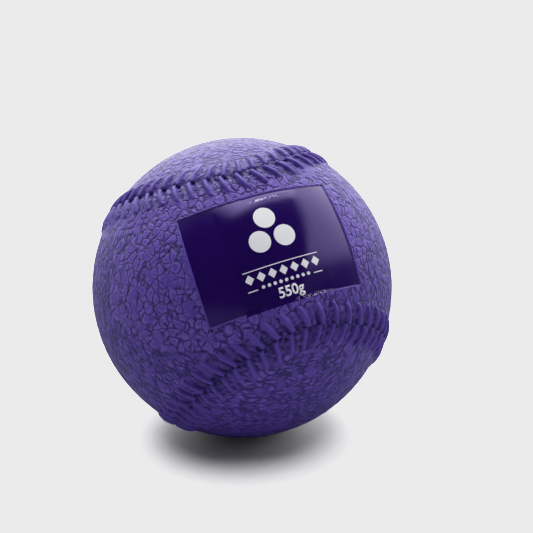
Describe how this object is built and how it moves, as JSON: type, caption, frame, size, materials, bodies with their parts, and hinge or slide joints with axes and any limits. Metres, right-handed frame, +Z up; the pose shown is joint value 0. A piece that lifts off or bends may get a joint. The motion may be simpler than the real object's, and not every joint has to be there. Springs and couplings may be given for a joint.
{
  "type": "weighted juggling ball",
  "caption": "Palm-sized weighted practice ball: soft moulded skin with a raised stitched seam and a label panel, closed by a stopper round a loose heavy fill.",
  "frame": {"origin": "centre of the ball", "axes": "+Z up as the ball lies on a table, -Y towards the side the label faces, +X to the right of a person who looks at the label"},
  "size_m": [0.073, 0.0738, 0.073],
  "materials": {
    "skin": "satin, leather grain",
    "film": "gloss",
    "stopper": "satin",
    "grit": "matt, granular"
  },
  "bodies": {
    "ball": {"shell": "skin", "label_film": "film", "stopper": "stopper"},
    "fill": {"loose_fill": "grit"}
  },
  "joints": [
    {"name": "fill_roll", "type": "hinge", "parent": "ball", "child": "fill", "pos_m": [0, 0, 0], "axis": [1, 0, 0], "continuous": true}
  ]
}
